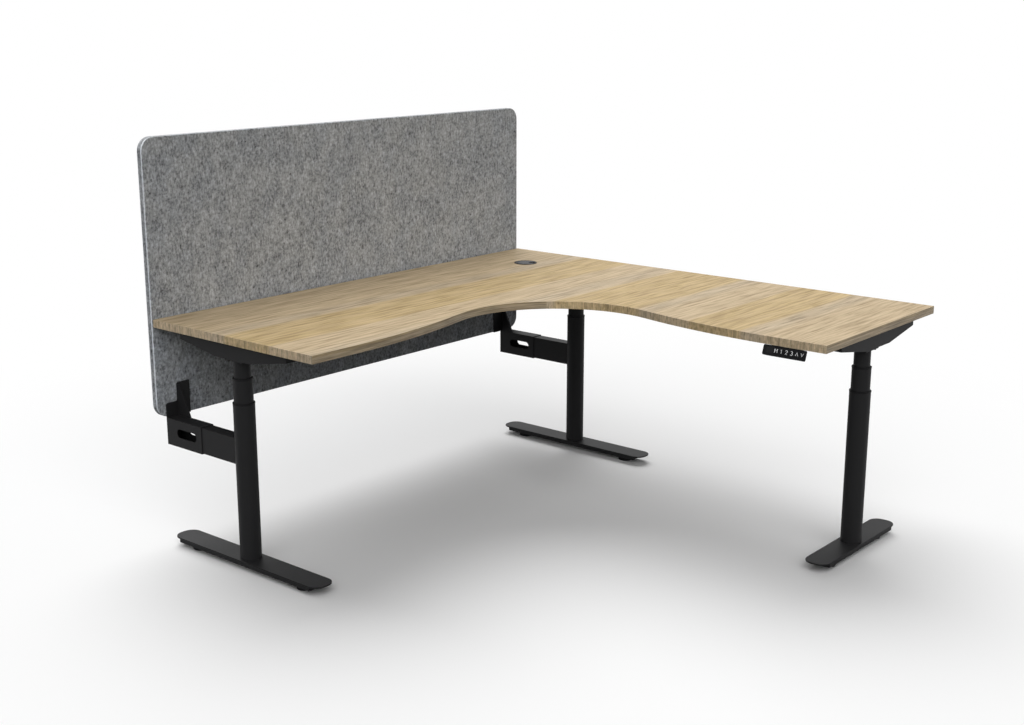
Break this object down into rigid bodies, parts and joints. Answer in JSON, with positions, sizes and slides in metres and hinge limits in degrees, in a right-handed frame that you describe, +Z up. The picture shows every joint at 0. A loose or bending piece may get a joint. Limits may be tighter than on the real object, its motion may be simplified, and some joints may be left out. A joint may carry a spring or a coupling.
{
  "type": "height-adjustable corner desk",
  "caption": "Electric sit-stand corner desk: L-shaped oak-look top on telescopic black columns, with a grey felt privacy screen held on arms behind it",
  "frame": {"origin": "on the floor, below the middle of the whole object's box", "axes": "+Z up; the screen stands at +Y and runs along X; the return wing is at +X and runs towards -Y"},
  "size_m": [1.8, 1.83, 1.331],
  "materials": {
    "black_powder_coat": "satin black powder coat on steel",
    "black_plastic": "fine-grained moulded black plastic",
    "bright_steel": "zinc-plated steel",
    "oak_laminate": "light oak-look laminate on particle board",
    "oak_edging": "darker oak-look edging strip",
    "grey_felt": "pressed mid-grey marl felt board",
    "display_glass": "clear gloss window over a dark display"
  },
  "bodies": {
    "stand": {"left_foot_plate": "black_powder_coat", "corner_foot_plate": "black_powder_coat", "return_foot_plate": "black_powder_coat", "foot_channels": "black_powder_coat", "left_outer_tube": "black_powder_coat", "corner_outer_tube": "black_powder_coat", "return_outer_tube": "black_powder_coat", "outer_collars": "black_plastic", "nut_posts": "bright_steel", "left_arm_beam": "black_powder_coat", "corner_arm_beam": "black_powder_coat", "left_arm_sleeve": "black_powder_coat", "corner_arm_sleeve": "black_powder_coat", "left_screen_upright": "black_powder_coat", "corner_screen_upright": "black_powder_coat", "screen_front_board": "grey_felt", "screen_back_board": "grey_felt"},
    "top": {"worktop_board": "oak_laminate", "worktop_edging": "oak_edging", "grommet_ring": "black_plastic", "handset_body": "black_plastic", "handset_display": "display_glass", "control_box": "black_plastic", "top_rails": "black_powder_coat", "head_bolts": "black_powder_coat", "worktop_screws": "bright_steel", "head_plates": "black_powder_coat", "lift_motors": "bright_steel", "inner_bushes": "black_plastic", "left_side_bracket": "black_powder_coat", "corner_side_bracket": "black_powder_coat", "return_side_bracket": "black_powder_coat", "left_inner_tube": "black_powder_coat", "corner_inner_tube": "black_powder_coat", "return_inner_tube": "black_powder_coat"},
    "left_middle_stage": {"left_middle_tube": "black_powder_coat", "left_middle_guides": "black_plastic"},
    "left_hollow_screw": {"left_hollow_screw": "bright_steel"},
    "left_spindle": {"left_spindle": "bright_steel"},
    "left_rear_glide": {"left_rear_glide": "black_plastic"},
    "left_front_glide": {"left_front_glide": "black_plastic"},
    "corner_middle_stage": {"corner_middle_tube": "black_powder_coat", "corner_middle_guides": "black_plastic"},
    "corner_hollow_screw": {"corner_hollow_screw": "bright_steel"},
    "corner_spindle": {"corner_spindle": "bright_steel"},
    "corner_rear_glide": {"corner_rear_glide": "black_plastic"},
    "corner_front_glide": {"corner_front_glide": "black_plastic"},
    "return_middle_stage": {"return_middle_tube": "black_powder_coat", "return_middle_guides": "black_plastic"},
    "return_hollow_screw": {"return_hollow_screw": "bright_steel"},
    "return_spindle": {"return_spindle": "bright_steel"},
    "return_rear_glide": {"return_rear_glide": "black_plastic"},
    "return_front_glide": {"return_front_glide": "black_plastic"},
    "key_memory": {"key_memory": "black_plastic"},
    "key_1": {"key_1": "black_plastic"},
    "key_2": {"key_2": "black_plastic"},
    "key_3": {"key_3": "black_plastic"},
    "key_up": {"key_up": "black_plastic"},
    "key_down": {"key_down": "black_plastic"},
    "grommet_cap": {"grommet_cap": "black_plastic"}
  },
  "joints": [
    {"name": "desk_lift", "type": "slide", "parent": "stand", "child": "top", "axis": [0, 0, 1], "range_m": [-0.108, 0.492]},
    {"name": "left_middle_slide", "type": "slide", "parent": "stand", "child": "left_middle_stage", "axis": [0, 0, 1], "range_m": [-0.054, 0.246]},
    {"name": "left_hollow_screw_turn", "type": "hinge", "parent": "left_middle_stage", "child": "left_hollow_screw", "pos_m": [-0.843, 0.524, 0.096], "axis": [0, 0, 1], "range_deg": [-1300, 5600]},
    {"name": "left_spindle_turn", "type": "hinge", "parent": "top", "child": "left_spindle", "pos_m": [-0.843, 0.524, 0.492], "axis": [0, 0, 1], "range_deg": [-2600, 11200]},
    {"name": "left_rear_glide_screw", "type": "slide", "parent": "stand", "child": "left_rear_glide", "axis": [0, 0, 1], "range_m": [-0.008, 0.002]},
    {"name": "left_front_glide_screw", "type": "slide", "parent": "stand", "child": "left_front_glide", "axis": [0, 0, 1], "range_m": [-0.008, 0.002]},
    {"name": "corner_middle_slide", "type": "slide", "parent": "stand", "child": "corner_middle_stage", "axis": [0, 0, 1], "range_m": [-0.054, 0.246]},
    {"name": "corner_hollow_screw_turn", "type": "hinge", "parent": "corner_middle_stage", "child": "corner_hollow_screw", "pos_m": [0.82, 0.517, 0.096], "axis": [0, 0, 1], "range_deg": [-1300, 5600]},
    {"name": "corner_spindle_turn", "type": "hinge", "parent": "top", "child": "corner_spindle", "pos_m": [0.82, 0.517, 0.492], "axis": [0, 0, 1], "range_deg": [-2600, 11200]},
    {"name": "corner_rear_glide_screw", "type": "slide", "parent": "stand", "child": "corner_rear_glide", "axis": [0, 0, 1], "range_m": [-0.008, 0.002]},
    {"name": "corner_front_glide_screw", "type": "slide", "parent": "stand", "child": "corner_front_glide", "axis": [0, 0, 1], "range_m": [-0.008, 0.002]},
    {"name": "return_middle_slide", "type": "slide", "parent": "stand", "child": "return_middle_stage", "axis": [0, 0, 1], "range_m": [-0.054, 0.246]},
    {"name": "return_hollow_screw_turn", "type": "hinge", "parent": "return_middle_stage", "child": "return_hollow_screw", "pos_m": [0.51, -0.858, 0.096], "axis": [0, 0, 1], "range_deg": [-1300, 5600]},
    {"name": "return_spindle_turn", "type": "hinge", "parent": "top", "child": "return_spindle", "pos_m": [0.51, -0.858, 0.492], "axis": [0, 0, 1], "range_deg": [-2600, 11200]},
    {"name": "return_rear_glide_screw", "type": "slide", "parent": "stand", "child": "return_rear_glide", "axis": [0, 0, 1], "range_m": [-0.008, 0.002]},
    {"name": "return_front_glide_screw", "type": "slide", "parent": "stand", "child": "return_front_glide", "axis": [0, 0, 1], "range_m": [-0.008, 0.002]},
    {"name": "key_memory_press", "type": "slide", "parent": "top", "child": "key_memory", "axis": [0.9397, 0, -0.342], "range_m": [0, 0.0008], "stiffness_N_per_m": 600},
    {"name": "key_1_press", "type": "slide", "parent": "top", "child": "key_1", "axis": [0.9397, 0, -0.342], "range_m": [0, 0.0008], "stiffness_N_per_m": 600},
    {"name": "key_2_press", "type": "slide", "parent": "top", "child": "key_2", "axis": [0.9397, 0, -0.342], "range_m": [0, 0.0008], "stiffness_N_per_m": 600},
    {"name": "key_3_press", "type": "slide", "parent": "top", "child": "key_3", "axis": [0.9397, 0, -0.342], "range_m": [0, 0.0008], "stiffness_N_per_m": 600},
    {"name": "key_up_press", "type": "slide", "parent": "top", "child": "key_up", "axis": [0.9397, 0, -0.342], "range_m": [0, 0.0008], "stiffness_N_per_m": 600},
    {"name": "key_down_press", "type": "slide", "parent": "top", "child": "key_down", "axis": [0.9397, 0, -0.342], "range_m": [0, 0.0008], "stiffness_N_per_m": 600},
    {"name": "grommet_cap_turn", "type": "hinge", "parent": "top", "child": "grommet_cap", "pos_m": [0.657, 0.642, 0.76], "axis": [0, 0, 1], "continuous": true}
  ],
  "couplings": [
    {"joint": "left_middle_slide", "follows": "desk_lift", "ratio": 0.5},
    {"joint": "left_hollow_screw_turn", "follows": "desk_lift", "rad_per_m": 196.35},
    {"joint": "left_spindle_turn", "follows": "desk_lift", "rad_per_m": 392.7},
    {"joint": "corner_middle_slide", "follows": "desk_lift", "ratio": 0.5},
    {"joint": "corner_hollow_screw_turn", "follows": "desk_lift", "rad_per_m": 196.35},
    {"joint": "corner_spindle_turn", "follows": "desk_lift", "rad_per_m": 392.7},
    {"joint": "return_middle_slide", "follows": "desk_lift", "ratio": 0.5},
    {"joint": "return_hollow_screw_turn", "follows": "desk_lift", "rad_per_m": 196.35},
    {"joint": "return_spindle_turn", "follows": "desk_lift", "rad_per_m": 392.7}
  ]
}
